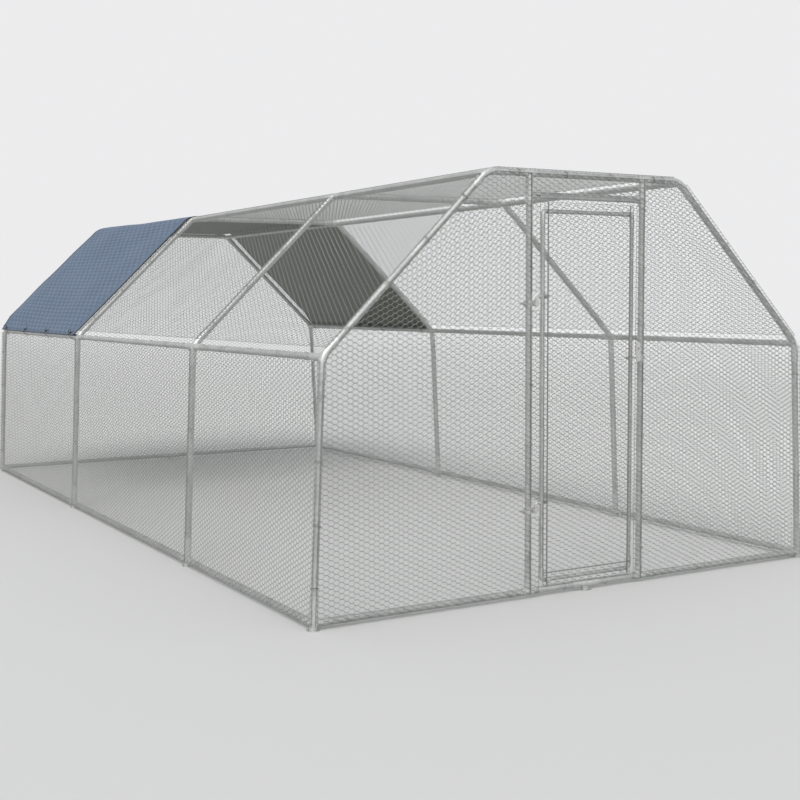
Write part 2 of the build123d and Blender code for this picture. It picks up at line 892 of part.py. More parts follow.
handle_x = guide_end + latch_stop_gap + handle_rod / 2
latch_tip = keeper_start - latch_tip_gap
latch_travel = keeper_start - latch_stop_gap - handle_rod / 2 - handle_x
with BuildPart() as latch_bolt:
    rod_start = guide_start - latch_rod_tail
    with BuildSketch(Plane(origin=(rod_start, front_y, latch_height), z_dir=RIGHT)):
        Circle(latch_rod / 2)
    extrude(amount=latch_tip - rod_start)
    with BuildSketch(Plane(origin=(handle_x, front_y, latch_height), z_dir=-BACK)):
        Circle(handle_rod / 2)
    extrude(amount=handle_reach - handle_plate)
    handle_face = Plane(
        origin=(handle_x, front_y - handle_reach, latch_height), x_dir=RIGHT, z_dir=-BACK
    )
    with BuildSketch(handle_face):
        with Locations((0, (handle_rise - handle_drop) / 2)):
            RectangleRounded(handle_width, handle_rise + handle_drop, handle_corner)
        with Locations((0, handle_hole_rise)):
            Circle(handle_hole / 2, mode=Mode.SUBTRACT)
    extrude(amount=-handle_plate)
latch_bolt.part.label = "latch_bolt"
export_step(latch_bolt.part, "parts/latch_bolt.step")

print(f"hinge axis x {hinge_x:.2f}, y {front_y:.2f}")
print(f"latch travel {latch_travel:.2f}")
print(f"eave turn {degrees(eave_turn):.2f}, ridge turn {degrees(ridge_turn):.2f}")
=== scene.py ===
import bmesh
import bpy
import json
from math import cos, exp, pi, radians, sin, tan
from mathutils import Matrix, Vector, geometry, noise
import numpy as np


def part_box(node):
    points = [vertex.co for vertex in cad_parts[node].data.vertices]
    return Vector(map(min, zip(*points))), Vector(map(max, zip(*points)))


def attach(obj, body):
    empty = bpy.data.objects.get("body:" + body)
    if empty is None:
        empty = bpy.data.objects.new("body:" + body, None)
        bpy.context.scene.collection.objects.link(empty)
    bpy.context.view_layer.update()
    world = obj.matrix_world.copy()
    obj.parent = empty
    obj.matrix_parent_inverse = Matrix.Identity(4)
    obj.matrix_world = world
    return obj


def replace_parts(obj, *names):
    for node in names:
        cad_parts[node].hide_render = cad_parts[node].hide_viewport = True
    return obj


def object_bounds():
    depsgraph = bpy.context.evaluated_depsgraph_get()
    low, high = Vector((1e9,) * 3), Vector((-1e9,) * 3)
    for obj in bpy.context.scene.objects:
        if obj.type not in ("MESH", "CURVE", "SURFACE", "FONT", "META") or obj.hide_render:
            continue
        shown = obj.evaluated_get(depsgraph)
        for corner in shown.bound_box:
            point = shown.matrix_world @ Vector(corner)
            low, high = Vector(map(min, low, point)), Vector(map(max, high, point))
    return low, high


# Walk-in chicken coop: galvanised tube arches under hexagonal wire netting, with a woven cover.
# Metres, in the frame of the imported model: +Z up, +Y from the door to the covered end.

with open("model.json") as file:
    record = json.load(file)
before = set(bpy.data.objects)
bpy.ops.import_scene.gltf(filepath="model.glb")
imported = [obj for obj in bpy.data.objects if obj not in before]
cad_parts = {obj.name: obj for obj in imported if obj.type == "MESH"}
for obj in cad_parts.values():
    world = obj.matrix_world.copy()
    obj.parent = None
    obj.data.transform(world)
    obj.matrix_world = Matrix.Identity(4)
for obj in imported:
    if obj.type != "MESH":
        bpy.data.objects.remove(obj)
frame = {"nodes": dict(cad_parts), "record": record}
cad_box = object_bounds()
nodes = frame["nodes"]
scene = bpy.context.scene

# Directions in the coop
crosswise = Vector((1, 0, 0))
lengthwise = Vector((0, 1, 0))
doorward = Vector((0, -1, 0))
upward = Vector((0, 0, 1))

# Camera, fitted to the tube corners of the photograph
image_side = 800
focal_pixels = 1240.0
sensor_width = 36.0
camera_far = 200.0
camera_place = Vector((-3.788, -7.701, 1.419))
camera_heading = radians(30.12)
camera_tilt = radians(-4.6)
camera_roll = radians(-0.26)

# Studio light, and a floor disc that fades into the backdrop
sky_shade = (0.95, 0.97, 1.0)
sky_strength = 0.64
key_shade = (1.0, 0.985, 0.96)
key_strength = 1.4
key_spread = radians(40)
key_direction = Vector((0.55, 0.62, -0.9))
backdrop_shade = (0.84, 0.84, 0.85)
floor_shade = (0.72, 0.72, 0.71)
floor_roughness = 0.85
floor_fade = 9.0
floor_reach = 42.0
floor_sides = 96

# Zinc on tubes and fittings: scales of its noises, and their shares in tone, roughness and relief
cloud_scale = 7.0
cloud_range = (0.3, 0.7)
zinc_grain = 420.0
zinc_grain_roughness = 0.6
crystal_tone = 0.5
cloud_tone = 0.35
grain_tone = 0.15
crystal_dulling = 0.12
cloud_polish = 0.08
crystal_relief = 0.4
grain_relief = 0.6
zinc_bump = 0.25
zinc_depth = 0.0004

# Wire, nylon of the cable ties and brass of the eyelets
wire_shade = (0.31, 0.32, 0.31)
wire_roughness = 0.42
nylon_shade = (0.012, 0.012, 0.013)
nylon_bloom = (0.03, 0.03, 0.031)
nylon_grain = 900.0
nylon_roughness = 0.38
nylon_dulling = 0.2
nylon_bump = 0.2
nylon_depth = 0.0003
brass_shade = (0.72, 0.62, 0.40)
tarnish_shade = (0.52, 0.44, 0.30)
tarnish_scale = 160.0
tarnish_range = (0.35, 0.7)
brass_roughness = 0.24
tarnish_dulling = 0.22

# Look of the cloth: woven tape, printed spots, stains and dust, and their shares
tape_width = 0.0028
print_row = 0.108
print_column = 0.037
print_margin = (0.08, 0.16)
stain_scale = 2.6
stain_detail = 4.0
stain_roughness = 0.55
stain_range = (0.3, 0.75)
dust_scale = 38.0
cloth_tone = 0.38
stain_tone = 0.14
dust_tone = 0.11
weave_tone = 0.03
hem_blur = 0.001
# Painted shadow: a dark band at both ends of the cloth stands in for the shade in the gap between the
# cloth's edge and the tube
edge_shadow_blur = 0.0005
edge_shadow_colour = (0.022, 0.026, 0.030)
cloth_roughness = 0.46
dust_dulling = 0.16
stain_polish = 0.06
cloth_gloss = 0.2
weave_relief = 0.35
print_relief = 0.25
cloth_bump = 0.35
cloth_depth = 0.0006

# Hexagonal netting; cells are set up to cell_reach columns past an outline, then held back to it
mesh_row = 0.025
mesh_column = 0.025
twist_length = 0.0125
twist_width = 0.0030
strand_width = 0.0022
cell_reach = 1.2
cell_weld = 0.00005
border_weld = 0.0001
index_guard = 0.001
net_sway = 0.0012
sway_scale = 9.0
sway_gain = 4
selvage_radius = 0.0011
selvage_sides = 6
bay_gap = 0.0030

# Straight wires on the door's netting
line_wire_radius = 0.0030
line_wire_sides = 8
line_wire_inset = 0.021
foot_wire_rise = 0.060

# Room beside the door for its swing, its latch and its hardware
swing_room = 0.019
latch_room = 0.005
hardware_room = 0.014

# Wire ties that hold the netting to the tubes, drawn for a tube of this radius
tie_tube = 0.016
tie_wire = 0.0008
tie_reach = 0.0169
tie_bulge = 0.0215
tie_steps = 12
tie_sides = 3
tail_length = 0.014
tail_steps = 5
tail_corners = 4
tail_place = radians(55)
tail_twist = radians(50)
tail_splay = 0.15
tail_flatness = 1.9
tie_spacing = 0.25
tie_margin = 0.13
tie_uneven = 0.008
tie_seed = 11

# How solids are read: corners closer than this are one, a tube's end ring has this depth, and
# these weights put the lower or nearer end of a tube first
same_point = 1e-6
tube_end = 0.0015
end_order = np.array((0.1, 1, 10))

# Cover cloth
cloth_thickness = 0.0006
solid_cover = 0.0015
cover_bend = 0.122
cloth_step = 0.022
hem_width = 0.042
hem_lift = 0.0009
hem_step = 0.0008
# Width of the painted shadow band at both ends of the cloth
edge_shadow_width = 0.032

# How the cloth lies: slack between the arches, crinkles, puckers at the eyelets, a loose rear end
slack_height = 0.013
slack_waves = (1.7, 1.9)
slack_layer = 4.0
slack_edge = 0.25
crinkle_height = 0.0008
crinkle_waves = (9.0, 7.0)
crinkle_layer = 9.0
pucker_height = 0.0022
pucker_wave = 0.075
pucker_rise = 0.16
pucker_spread = 0.14
rear_lift = 0.030
rear_lift_reach = 0.80
rear_lift_eave = 0.13
rear_ripple = 0.25
ripple_waves = 3.1
ripple_layer = (2.0, 7.0)

# Eyelets in the hem and the holes under them
eyelet_radius = 0.0078
eyelet_bore = 0.0050
eyelet_roll = 0.0016
eyelet_lap = 0.0004
eyelet_steps = 32
eyelet_sides = 12
hole_room = 1.2
hole_sides = 24
hole_depth = 0.02

# Cable ties through the eyelets
band_width = 0.0070
band_thickness = 0.0016
band_corner = 0.0075
band_corner_steps = 5
head_size = Vector((0.014, 0.013, 0.009))
head_bevel = 0.0016
head_bevel_steps = 2
loose_end = 0.050
loose_end_steps = 18
loose_end_rise = radians(8)
loose_end_curls = (radians(285), radians(330), radians(50), radians(220))
swing_reach = 0.9
swing_step = 2.4
swing_start = 0.6


class Signal:
    """An output socket: arithmetic on it adds Math nodes to its tree."""

    def __init__(self, tree, socket):
        self.tree = tree
        self.socket = socket

    def __add__(self, other):
        return compute(self.tree, "ADD", self, other)

    def __radd__(self, other):
        return compute(self.tree, "ADD", other, self)

    def __sub__(self, other):
        return compute(self.tree, "SUBTRACT", self, other)

    def __rsub__(self, other):
        return compute(self.tree, "SUBTRACT", other, self)

    def __mul__(self, other):
        return compute(self.tree, "MULTIPLY", self, other)

    def __rmul__(self, other):
        return compute(self.tree, "MULTIPLY", other, self)

    def __truediv__(self, other):
        return compute(self.tree, "DIVIDE", self, other)

    def __rtruediv__(self, other):
        return compute(self.tree, "DIVIDE", other, self)

    def apply(self, operation, *others):
        return compute(self.tree, operation, self, *others)


def add_node(tree, kind, settings=None, sockets=None, output=0):
    """Adds a node: its settings first, then the values or links of its sockets.

    Gives the signal of one output, or a list of signals for a list of outputs.
    """
    made = tree.nodes.new(kind)
    for name, value in (settings or {}).items():
        setattr(made, name, value)
    for name, value in (sockets or {}).items():
        links = value if isinstance(value, list) else [value]
        for link in links:
            if isinstance(link, Signal):
                tree.links.new(link.socket, made.inputs[name])
            else:
                made.inputs[name].default_value = link
    if isinstance(output, list):
        return [Signal(tree, made.outputs[name]) for name in output]
    return Signal(tree, made.outputs[output]) if made.outputs else None


def compute(tree, operation, *terms):
    return add_node(tree, "ShaderNodeMath", {"operation": operation}, dict(enumerate(terms)))


def parts_of(tree, vector):
    return add_node(tree, "ShaderNodeSeparateXYZ", None, {0: vector}, ["X", "Y", "Z"])


def vector_of(tree, x=0.0, y=0.0, z=0.0):
    return add_node(tree, "ShaderNodeCombineXYZ", None, {"X": x, "Y": y, "Z": z})


# Materials


def colour(red, green, blue):
    return (red, green, blue, 1.0)


def new_finish(name):
    material = bpy.data.materials.new(name)
    material.use_nodes = True
    material.node_tree.nodes.clear()
    return material, material.node_tree


def surface(tree, **sockets):
    """The shader and the output; socket names have underscores for spaces."""
    named = {name.replace("_", " "): value for name, value in sockets.items()}
    shader = add_node(tree, "ShaderNodeBsdfPrincipled", None, named)
    add_node(tree, "ShaderNodeOutputMaterial", None, {"Surface": shader})


def object_place(tree):
    return add_node(tree, "ShaderNodeTexCoord", output="Object")


def grain(tree, place, scale, detail=2.0, roughness=0.5):
    sockets = {"Vector": place, "Scale": scale, "Detail": detail, "Roughness": roughness}
    return add_node(tree, "ShaderNodeTexNoise", None, sockets, "Fac")


def mix_colours(tree, factor, first, second):
    sockets = {0: factor, 6: first, 7: second}
    return add_node(tree, "ShaderNodeMix", {"data_type": "RGBA"}, sockets, 2)


def spread_over(tree, value, low, high):
    """Maps a value from low..high to 0..1, clamped."""
    sockets = {"Value": value, "From Min": low, "From Max": high}
    return add_node(tree, "ShaderNodeMapRange", None, sockets)


def bump(tree, height, strength, distance):
    sockets = {"Height": height, "Strength": strength, "Distance": distance}
    return add_node(tree, "ShaderNodeBump", None, sockets)


def wave(tree, value, period):
    return (value * (2 * pi / period)).apply("COSINE")


def zinc_finish(name, dark, light, spangle_size, smoothness):
    """Hot-dip zinc: crystal spangle, cloudy patina and a fine grain."""
    material, tree = new_finish(name)
    place = object_place(tree)
    cells = {"Vector": place, "Scale": 1 / spangle_size, "Randomness": 1.0}
    spangle = add_node(tree, "ShaderNodeTexVoronoi", {"feature": "F1"}, cells, "Color")
    crystal = add_node(tree, "ShaderNodeSeparateColor", None, {"Color": spangle}, "Red")
    cloud = spread_over(tree, grain(tree, place, cloud_scale, detail=3.0), *cloud_range)
    fine = grain(tree, place, zinc_grain, roughness=zinc_grain_roughness)
    tone = crystal * crystal_tone + cloud * cloud_tone + fine * grain_tone
    height = fine * grain_relief + crystal * crystal_relief
    surface(
        tree,
        Base_Color=mix_colours(tree, tone, dark, light),
        Metallic=1.0,
        Roughness=(1.0 - smoothness) + crystal * crystal_dulling - cloud * cloud_polish,
        Normal=bump(tree, height, zinc_bump, zinc_depth),
    )
    return material


def wire_finish():
    """Drawn zinc-coated wire, thinner than any pattern on it."""
    material, tree = new_finish("net_wire")
    surface(tree, Base_Color=colour(*wire_shade), Metallic=1.0, Roughness=wire_roughness)
    return material


def nylon_finish():
    material, tree = new_finish("tie_nylon")
    fine = grain(tree, object_place(tree), nylon_grain)
    surface(
        tree,
        Base_Color=mix_colours(tree, fine, colour(*nylon_shade), colour(*nylon_bloom)),
        Roughness=nylon_roughness + fine * nylon_dulling,
        Normal=bump(tree, fine, nylon_bump, nylon_depth),
    )
    return material


def eyelet_finish():
    material, tree = new_finish("eyelet_brass")
    spots = grain(tree, object_place(tree), tarnish_scale, detail=3.0)
    tarnish = spread_over(tree, spots, *tarnish_range)
    surface(
        tree,
        Base_Color=mix_colours(tree, tarnish, colour(*brass_shade), colour(*tarnish_shade)),
        Metallic=1.0,
        Roughness=brass_roughness + tarnish * tarnish_dulling,
    )
    return material


def cloth_finish(name, base, shadow, print_depth, painted_hem_shade):
    """Woven plastic tape; a doubled hem with painted shade, a painted shadow line at both ends, pale spots
    in a honeycomb.
    """
    material, tree = new_finish(name)
    flat = add_node(tree, "ShaderNodeUVMap", {"uv_map": "flat"})
    across, along = parts_of(tree, flat)[:2]
    weave = wave(tree, across, tape_width) * wave(tree, along, tape_width)
    slant = across * (print_row / print_column / 2)
    spots = wave(tree, across, print_column)
    spots = spots + wave(tree, along - slant, print_row) + wave(tree, along + slant, print_row)
    stain = grain(tree, flat, stain_scale, stain_detail, stain_roughness)
    stain = spread_over(tree, stain, *stain_range)
    dust = grain(tree, flat, dust_scale, detail=3.0)
    edge = add_node(tree, "ShaderNodeUVMap", {"uv_map": "edge"})
    from_eave, from_end = parts_of(tree, edge)[:2]
    from_edge = from_eave.apply("MINIMUM", from_end)
    hem = spread_over(tree, from_edge, hem_width + hem_blur, hem_width - hem_blur)
    spots = spots * spread_over(tree, from_end, *print_margin)
    # Painted shade: the tone is lowered along the hem, where the doubled cloth lets less light through
    tone = cloth_tone + stain * stain_tone + dust * dust_tone
    tone = tone + spots * print_depth + weave * weave_tone - hem * painted_hem_shade
    tone = tone.apply("MAXIMUM", 0.0).apply("MINIMUM", 1.0)
    shade = mix_colours(tree, tone, shadow, base)
    # Painted shadow: a dark band at both ends, for the shade in the gap at the cloth's edge
    edge_shadow = spread_over(tree, from_end, edge_shadow_width + edge_shadow_blur, edge_shadow_width - edge_shadow_blur)
    height = weave * weave_relief + spots * print_relief
    surface(
        tree,
        Base_Color=mix_colours(tree, edge_shadow, shade, colour(*edge_shadow_colour)),
        Roughness=cloth_roughness + dust * dust_dulling - stain * stain_polish,
        Specular_IOR_Level=cloth_gloss,
        Normal=bump(tree, height, cloth_bump, cloth_depth),
    )
    return material


def seen_directly(tree):
    """1 for what the camera, metal or glass shows, 0 for light that falls on the pieces."""
    kinds = ["Is Camera Ray", "Is Glossy Ray", "Is Transmission Ray"]
    camera_ray, glossy_ray, transmission_ray = add_node(tree, "ShaderNodeLightPath", output=kinds)
    return (camera_ray + glossy_ray + transmission_ray).apply("MINIMUM", 1.0)


def floor_finish():
    """Pale studio floor that fades into the backdrop towards its rim."""
    material, tree = new_finish("studio_floor")
    x, y = parts_of(tree, object_place(tree))[:2]
    fade = spread_over(tree, (x * x + y * y).apply("SQRT"), floor_fade, floor_reach)
    fade = fade * seen_directly(tree)
    matt = {"Base Color": colour(*floor_shade), "Roughness": floor_roughness}
    ground = add_node(tree, "ShaderNodeBsdfPrincipled", None, matt)
    rim = add_node(tree, "ShaderNodeEmission", None, {"Color": colour(*backdrop_shade)})
    blended = add_node(tree, "ShaderNodeMixShader", None, {0: fade, 1: ground, 2: rim})
    add_node(tree, "ShaderNodeOutputMaterial", None, {"Surface": blended})
    return material


finishes = {
    "galvanised_tube": zinc_finish(
        "galvanised_tube",
        dark=colour(0.40, 0.41, 0.41),
        light=colour(0.66, 0.67, 0.65),
        spangle_size=0.011,
        smoothness=0.48,
    ),
    "fitting_steel": zinc_finish(
        "fitting_steel",
        dark=colour(0.46, 0.47, 0.47),
        light=colour(0.74, 0.75, 0.73),
        spangle_size=0.008,
        smoothness=0.54,
    ),
    "zinc_hardware": zinc_finish(
        "zinc_hardware",
        dark=colour(0.52, 0.52, 0.51),
        light=colour(0.76, 0.76, 0.74),
        spangle_size=0.004,
        smoothness=0.74,
    ),
    "net_wire": wire_finish(),
    "cover_cloth": cloth_finish(
        "cover_cloth",
        base=colour(0.147, 0.220, 0.336),
        shadow=colour(0.061, 0.092, 0.140),
        print_depth=0.19,
        # Painted shade along the hem, slight on the outer face
        painted_hem_shade=0.07,
    ),
    "eyelet_brass": eyelet_finish(),
    "tie_rubber": nylon_finish(),
}
cloth_inside = cloth_finish(
    "cover_cloth_inside",
    base=colour(0.25, 0.265, 0.20),
    shadow=colour(0.10, 0.11, 0.085),
    print_depth=0.03,
    # Painted shade along the hem, strong on the inner face
    painted_hem_shade=0.5,
)

for part in frame["record"]["subparts"]:
    solid = nodes[part["node"]]
    solid.data.materials.clear()
    solid.data.materials.append(finishes[part["material_slot"]])


# Shared making steps


def mesh_of(name, points, faces, edges=()):
    made = bpy.data.meshes.new(name)
    made.from_pydata([tuple(point) for point in points], edges, faces)
    made.update()
    return made


def mesh_from(shape, name):
    """A new mesh of a finished bmesh shape, which is freed."""
    made = bpy.data.meshes.new(name)
    shape.to_mesh(made)
    shape.free()
    return made


def ring_faces(around, sides):
    """The faces of a closed ring of sections, each with its corners in order."""
    faces = []
    for i in range(around):
        here, there = i * sides, (i + 1) % around * sides
        for j in range(sides):
            up = (j + 1) % sides
            faces.append((here + j, there + j, there + up, here + up))
    return faces


def add_rod(shape, sides, radius, length, place):
    """Adds a closed cylinder along the Z of its place."""
    bmesh.ops.create_cone(
        shape, cap_ends=True, segments=sides, radius1=radius, radius2=radius, depth=length, matrix=place
    )


def new_object(name, data):
    made = bpy.data.objects.new(name, data)
    scene.collection.objects.link(made)
    return made


def remove(made):
    bpy.data.objects.remove(made)


def new_piece(name, mesh, body):
    piece = new_object(name, mesh)
    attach(piece, body)
    return piece


def new_tree(name, sockets):
    """A geometry tree with named inputs; returns it with a signal for each input."""
    tree = bpy.data.node_groups.new(name, "GeometryNodeTree")
    tree.interface.new_socket("Geometry", in_out="INPUT", socket_type="NodeSocketGeometry")
    tree.interface.new_socket("Geometry", in_out="OUTPUT", socket_type="NodeSocketGeometry")
    for label, kind in sockets.items():
        tree.interface.new_socket(label, in_out="INPUT", socket_type="NodeSocket" + kind)
    labels = ["Geometry", *sockets]
    return tree, dict(zip(labels, add_node(tree, "NodeGroupInput", output=labels)))


def end_tree(tree, shape, finish):
    """Every tree ends in real faces with their material."""
    real = add_node(tree, "GeometryNodeRealizeInstances", None, {"Geometry": shape})
    dressed = add_node(
        tree, "GeometryNodeSetMaterial", None, {"Geometry": real, "Material": finish}
    )
    add_node(tree, "NodeGroupOutput", None, {"Geometry": dressed})


def plain_mesh(holder, modifier):
    """What a modifier makes of an object, as a mesh of its own; the object is removed."""
    shown = holder.evaluated_get(bpy.context.evaluated_depsgraph_get())
    made = bpy.data.meshes.new_from_object(shown)
    holder.modifiers.remove(modifier)
    remove(holder)
    return made


def grown(name, base, tree, settings, place=Matrix()):
    """The plain mesh that a tree makes of a base mesh, moved to its place."""
    holder = new_object(name + "_base", base)
    modifier = holder.modifiers.new(tree.name, "NODES")
    modifier.node_group = tree
    for item in tree.interface.items_tree:
        if item.in_out == "INPUT" and item.name in settings:
            modifier[item.identifier] = settings[item.name]
    made = plain_mesh(holder, modifier)
    made.name = name
    made.transform(place)
    return made


def islands(node):
    """The separate solids of a node, each as a list of its corners."""
    copy = bmesh.new()
    copy.from_mesh(nodes[node].data)
    bmesh.ops.remove_doubles(copy, verts=copy.verts, dist=same_point)
    seen = set()
    found = []
    for first in copy.verts:
        queue = [] if first in seen else [first]
        seen.add(first)
        corners = []
        while queue:
            corner = queue.pop()
            corners.append(corner.co.copy())
            near = [edge.other_vert(corner) for edge in corner.link_edges]
            queue += [other for other in near if other not in seen]
            seen.update(near)
        if corners:
            found.append(corners)
    copy.free()
    return found


def reach_of(points, axes=2):
    """The lowest and the highest corner of the box round some points."""
    low = Vector([min(point[i] for point in points) for i in range(axes)])
    high = Vector([max(point[i] for point in points) for i in range(axes)])
    return low, high


def middle(points):
    low, high = reach_of(points, axes=3)
    return (low + high) / 2


def frame_on(centre, out, along):
    """A place with Z outwards and X in the given direction."""
    place = Matrix((along, out.cross(along), out)).transposed().to_4x4()
    place.translation = centre
    return place


def panel_of(node, along):
    """The plane of a flat net, its depth and its outline; the plane's Z faces out of the coop."""
    corners = np.array([corner.co for corner in nodes[node].data.vertices])
    centre = corners.mean(axis=0)
    out = Vector(np.linalg.svd(corners - centre, full_matrices=False)[2][2])
    coop_middle = (cad_box[0] + cad_box[1]) / 2
    if out.dot(Vector(centre) - coop_middle) < 0:
        out.negate()
    across = out.cross(along)
    heights = corners @ np.array(out)
    place = frame_on(out * heights.min(), out, along)
    flat = [(Vector(corner).dot(along), Vector(corner).dot(across)) for corner in corners]
    outline = [Vector(flat[i]) for i in geometry.convex_hull_2d(flat)]
    return place, heights.max() - heights.min(), outline


def net_outward(node):
    """The direction that a net of the walls or the roof faces."""
    return panel_of(node, lengthwise)[0].col[2].to_3d()


# Hexagonal wire netting


def wire_cell(depth):
    """A cell's share of wire: one twisted side and the two strands that leave its right end."""
    half_twist = twist_length / 2
    strand = Vector((mesh_column - twist_length, mesh_row / 2)).normalized()
    thick = twist_width / 2
    thin = strand_width / 2
    shoulder = half_twist + (thick * strand.x - thin) / strand.y
    crotch = half_twist + thin / strand.y
    right = {"R": (half_twist, 0), "U": (shoulder, thick), "L": (shoulder, -thick), "E": (crotch, 0)}
    left = {name: (-x, y) for name, (x, y) in right.items()}
    above = {name: (x + mesh_column, y + mesh_row / 2) for name, (x, y) in left.items()}
    below = {name: (x + mesh_column, y - mesh_row / 2) for name, (x, y) in left.items()}
    points = []
    number = {}
    for end, corners in (("l", left), ("r", right), ("a", above), ("b", below)):
        for name, (x, y) in corners.items():
            number[end + name] = len(points)
            points.append((x, y, depth if name == "R" else 0))
    faces = (
        "lR rR rU lU", "lL rL rR lR", "lU rU rL lL",
        "rR aR aE rU", "rE aL aR rR", "rU aE aL rE",
        "rR bR bU rE", "rL bE bR rR", "rE bU bE rL",
        "lE lU lL", "rE rL rU",
    )
    made = mesh_of("wire_cell", points, [[number[key] for key in face.split()] for face in faces])
    shape = bmesh.new()
    shape.from_mesh(made)
    loose = [corner for corner in shape.verts if not corner.link_faces]
    bmesh.ops.delete(shape, geom=loose, context="VERTS")
    shape.to_mesh(made)
    shape.free()
    return made


def net_tree():
    """Fills a flat outline with cells in staggered columns and runs a selvage wire round it."""
    tree, given = new_tree(
        "hexagonal_net",
        {
            "Cell": "Object", "Row": "Float", "Column": "Float", "Depth": "Float",
            "Sway": "Float", "Selvage": "Float", "Wire": "Material",
        },
    )
    outline, row, column = given["Geometry"], given["Row"], given["Column"]
    box = add_node(tree, "GeometryNodeBoundBox", None, {0: outline}, ["Min", "Max"])
    low, high = [parts_of(tree, corner) for corner in box]
    first_x = (low[0] / (column * 2)).apply("FLOOR") * column * 2 - column * 2
    first_y = (low[1] / row).apply("FLOOR") * row - row
    count_x = ((high[0] - first_x) / column).apply("CEIL") + 2
    count_y = ((high[1] - first_y) / row).apply("CEIL") + 2
    size_x = (count_x - 1) * column
    size_y = (count_y - 1) * row
    sockets = {"Size X": size_x, "Size Y": size_y, "Vertices X": count_x, "Vertices Y": count_y}
    grid = add_node(tree, "GeometryNodeMeshGrid", None, sockets)
    index = add_node(tree, "GeometryNodeInputIndex")
    # The guard keeps a whole quotient from falling to the column before it
    stagger = (index / count_y + index_guard).apply("FLOOR").apply("MODULO", 2.0) * row / 2
    shift = vector_of(tree, first_x + size_x / 2, first_y + size_y / 2 + stagger)
    grid = add_node(tree, "GeometryNodeSetPosition", None, {"Geometry": grid, "Offset": shift})
    to_faces = {"target_element": "FACES"}
    away = add_node(tree, "GeometryNodeProximity", to_faces, {0: outline}, "Distance")
    outside = add_node(
        tree, "FunctionNodeCompare", {"operation": "GREATER_THAN"}, {0: away, 1: column * cell_reach}
    )
    grid = add_node(
        tree, "GeometryNodeDeleteGeometry", {"domain": "POINT"}, {"Geometry": grid, "Selection": outside}
    )
    cell = add_node(tree, "GeometryNodeObjectInfo", None, {"Object": given["Cell"]}, "Geometry")
    cells = add_node(tree, "GeometryNodeInstanceOnPoints", None, {"Points": grid, "Instance": cell})
    wires = add_node(tree, "GeometryNodeRealizeInstances", None, {"Geometry": cells})
    weld = {"Geometry": wires, "Distance": cell_weld}
    wires = add_node(tree, "GeometryNodeMergeByDistance", None, weld)
    place = add_node(tree, "GeometryNodeInputPosition")
    x, y, z = parts_of(tree, place)
    slow = {"Vector": place, "Scale": sway_scale, "Detail": 1.0}
    drift = parts_of(tree, add_node(tree, "ShaderNodeTexNoise", None, slow, "Color"))
    swayed_x = x + (drift[0] - 0.5) * given["Sway"] * sway_gain
    swayed_y = y + (drift[1] - 0.5) * given["Sway"] * sway_gain
    sockets = {0: outline, "Sample Position": vector_of(tree, swayed_x, swayed_y)}
    held = add_node(tree, "GeometryNodeProximity", to_faces, sockets, "Position")
    held_x, held_y = parts_of(tree, held)[:2]
    inside = vector_of(tree, held_x, held_y, z)
    wires = add_node(tree, "GeometryNodeSetPosition", None, {"Geometry": wires, "Position": inside})
    weld = {"Geometry": wires, "Distance": border_weld}
    wires = add_node(tree, "GeometryNodeMergeByDistance", None, weld)
    edge = add_node(tree, "GeometryNodeMeshToCurve", None, {0: outline})
    round_wire = {"Resolution": selvage_sides, "Radius": given["Selvage"]}
    ring = add_node(tree, "GeometryNodeCurvePrimitiveCircle", None, round_wire)
    selvage = {"Curve": edge, "Profile Curve": ring, "Fill Caps": True}
    edge = add_node(tree, "GeometryNodeCurveToMesh", None, selvage)
    lift = vector_of(tree, z=given["Depth"] / 2)
    edge = add_node(tree, "GeometryNodeSetPosition", None, {"Geometry": edge, "Offset": lift})
    net = add_node(tree, "GeometryNodeJoinGeometry", None, {0: [edge, wires]})
    end_tree(tree, net, given["Wire"])
    return tree


def bays_of(outline, borders):
    """Cuts a long rectangular strip at the arches; gives a name and an outline for each bay."""
    low, high = reach_of(outline)
    ends = [low.x, *borders, high.x]
    for i, name in enumerate(("front", "middle", "rear")):
        start = ends[i] + (bay_gap / 2 if i else 0)
        end = ends[i + 1] - (bay_gap / 2 if i < 2 else 0)
        yield name, [(start, low.y), (end, low.y), (end, high.y), (start, high.y)]


def gap_strips():
    """Strips of the front netting that lap past the door posts, with room for the hardware between them."""
    low_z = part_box("front_left_net")[0].z
    top_z = middle(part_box("door_lintel")).z - bay_gap / 2
    for side, stile, hardware in (
        ("left", "door_hinge_stile", "hinge_pintles"),
        ("right", "door_latch_stile", "latch_guide"),
    ):
        post = middle(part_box(f"{side}_door_post")).x
        stile_low, stile_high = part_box(stile)
        if side == "left":
            sides = [post + bay_gap / 2, stile_low.x - swing_room]
        else:
            sides = [stile_high.x + latch_room, post - bay_gap / 2]
        ends = [low_z, top_z]
        for corners in islands(hardware):
            heights = [corner.z for corner in corners]
            ends += [min(heights) - hardware_room, max(heights) + hardware_room]
        ends.sort()
        for i in range(0, len(ends), 2):
            low, high = ends[i], ends[i + 1]
            outline = [(sides[0], low), (sides[1], low), (sides[1], high), (sides[0], high)]
            yield f"{side}_gap_netting_{i // 2 + 1}", outline


